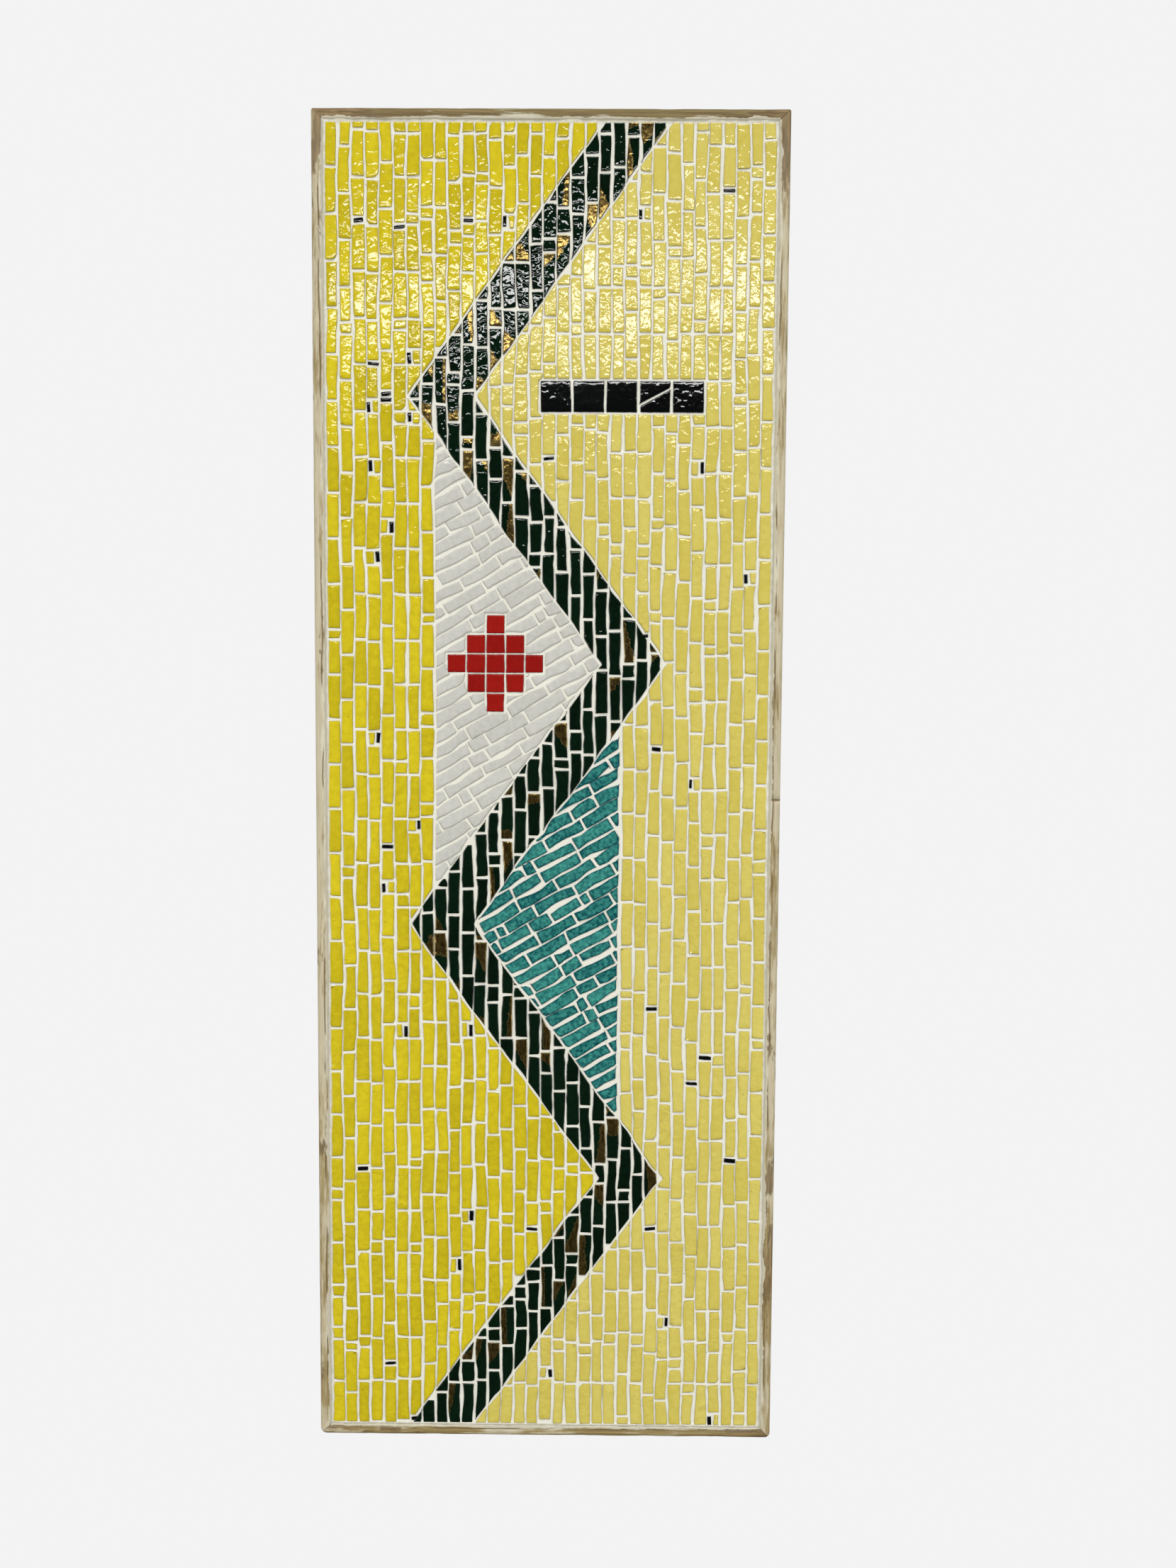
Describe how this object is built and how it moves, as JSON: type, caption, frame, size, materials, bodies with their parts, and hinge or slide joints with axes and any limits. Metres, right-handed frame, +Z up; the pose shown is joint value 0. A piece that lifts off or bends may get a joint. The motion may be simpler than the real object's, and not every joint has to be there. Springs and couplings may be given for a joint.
{
  "type": "mosaic wall panel",
  "caption": "Tall narrow wooden panel faced with hand-cut glazed ceramic strips in pale grout, in two yellows with a dark zigzag band and small coloured motifs, edged by thin mitred rails.",
  "frame": {"origin": "middle of the flat back, where the panel meets the wall", "axes": "+Z up the panel along its length, +X across it to the right as seen from the front, +Y into the wall, so the mosaic faces -Y"},
  "size_m": [0.51, 0.025, 1.46],
  "materials": {
    "board_wood": "bare softwood plywood, matt",
    "rail_wood": "weathered bare wood with worn whitewash, matt",
    "grout": "off-white cement grout, matt and slightly grainy",
    "deep_yellow_glaze": "glazed ceramic, gloss, gently uneven",
    "pale_yellow_glaze": "glazed ceramic, satin gloss",
    "dark_green_glaze": "glazed ceramic, high gloss, with patches of gold lustre",
    "turquoise_glaze": "glazed ceramic, mottled, gloss",
    "white_glaze": "glazed ceramic, cool white, satin gloss",
    "red_glaze": "opaque red ceramic, satin",
    "black_glaze": "black ceramic, gloss"
  },
  "bodies": {
    "root": {"backing_board": "board_wood", "grout_bed": "grout", "rail_left": "rail_wood", "rail_right": "rail_wood", "rail_top": "rail_wood", "rail_bottom": "rail_wood", "tesserae_deep_yellow": "deep_yellow_glaze", "tesserae_pale_yellow": "pale_yellow_glaze", "tesserae_dark_green": "dark_green_glaze", "tesserae_turquoise": "turquoise_glaze", "tesserae_white": "white_glaze", "tesserae_red": "red_glaze", "tesserae_black": "black_glaze"}
  },
  "joints": []
}
